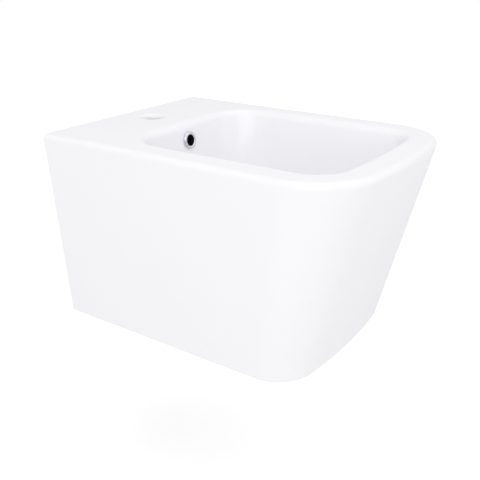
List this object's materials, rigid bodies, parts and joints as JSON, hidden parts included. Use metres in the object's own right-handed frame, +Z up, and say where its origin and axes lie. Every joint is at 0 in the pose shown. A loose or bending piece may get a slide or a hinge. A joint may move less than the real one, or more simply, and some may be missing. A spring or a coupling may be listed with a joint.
{
  "type": "wall-hung bidet",
  "caption": "Wall-hung ceramic bidet with tapered sides, rear ledge with open tap hole, chrome overflow ring, push-to-open drain, bottle trap and stud wall fixing.",
  "frame": {"origin": "midpoint between the two wall studs, on the plane of the wall", "axes": "+X to the right as seen from the front, +Y into the wall along the studs, +Z up through the tap hole"},
  "size_m": [0.3904, 0.5974, 0.325],
  "materials": {
    "ceramic": "gloss",
    "chrome": "polished",
    "brass": "machined",
    "steel": "zinc plated",
    "spring_steel": "bright wire",
    "black_rubber": "matte",
    "white_plastic": "satin",
    "grey_plastic": "satin"
  },
  "bodies": {
    "bidet": {"ceramic_body": "ceramic", "ceramic_bowl": "ceramic", "overflow_ring": "chrome", "overflow_ring_grip": "black_rubber", "waste_body": "chrome", "waste_spring": "spring_steel", "waste_cartridge": "grey_plastic", "waste_top_gasket": "black_rubber", "waste_cone_gasket": "black_rubber", "waste_friction_washer": "white_plastic", "waste_back_nut": "brass", "trap_inlet_nut": "white_plastic", "trap_inlet_seal": "black_rubber", "trap_body": "white_plastic", "trap_cup": "white_plastic", "trap_cup_seal": "black_rubber", "trap_outlet_nut": "white_plastic", "trap_outlet_seal": "black_rubber", "trap_outlet_pipe": "white_plastic", "wall_studs": "steel", "stud_sleeves": "white_plastic", "stud_washers": "steel", "stud_nuts": "steel"},
    "waste_plug": {"waste_cap": "chrome", "waste_cap_seal": "black_rubber", "waste_stem": "brass"}
  },
  "joints": [
    {"name": "waste_plug_slide", "type": "slide", "parent": "bidet", "child": "waste_plug", "axis": [0, 0, 1], "range_m": [-0.008, 0], "stiffness_N_per_m": 500, "springref_m": 0.005, "deforming": ["waste_spring"]}
  ]
}
